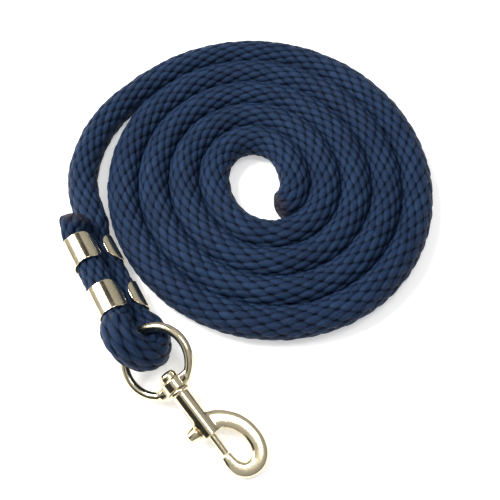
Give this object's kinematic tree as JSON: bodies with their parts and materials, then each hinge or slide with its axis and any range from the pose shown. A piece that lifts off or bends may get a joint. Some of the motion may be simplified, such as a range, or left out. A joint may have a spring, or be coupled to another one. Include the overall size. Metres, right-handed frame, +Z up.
{
  "type": "lead rope",
  "caption": "Navy solid-braid lead rope laid in a flat coil, doubled through a swivel eye and crimped with metal bands to a brass bolt snap",
  "frame": {"origin": "On the surface that the rope lies on, below the middle of the snap and its crimp bands.", "axes": "+Z up, away from the surface. +Y from the snap's hook towards the rope's crimped tail. +X from the snap towards the coil."},
  "size_m": [0.192, 0.2497, 0.0336],
  "materials": {
    "rope": "matte",
    "hardware": "polished",
    "spring": "satin"
  },
  "bodies": {
    "rope": {"rope_coil": "rope", "rope_lead": "rope", "crimp_band_upper": "hardware", "crimp_band_lower": "hardware"},
    "eye": {"swivel_eye": "hardware"},
    "hook": {"snap_body": "hardware", "swivel_stud": "hardware", "bolt_spring": "spring"},
    "bolt": {"bolt": "hardware", "thumb_knob": "hardware"}
  },
  "joints": [
    {"name": "eye_swing", "type": "hinge", "parent": "rope", "child": "eye", "pos_m": [-0.0103, 0.0021, 0.01635], "axis": [-0.7354, -0.4979, -0.4596], "range_deg": [0, 90]},
    {"name": "hook_swivel", "type": "hinge", "parent": "eye", "child": "hook", "pos_m": [-0.0103, 0.0021, 0.01635], "axis": [0.6229, -0.7637, -0.1694], "continuous": true},
    {"name": "bolt_slide", "type": "slide", "parent": "hook", "child": "bolt", "axis": [-0.6229, 0.7637, 0.1694], "range_m": [0, 0.01], "stiffness_N_per_m": 400, "springref_m": -0.006, "deforming": ["bolt_spring"]}
  ]
}
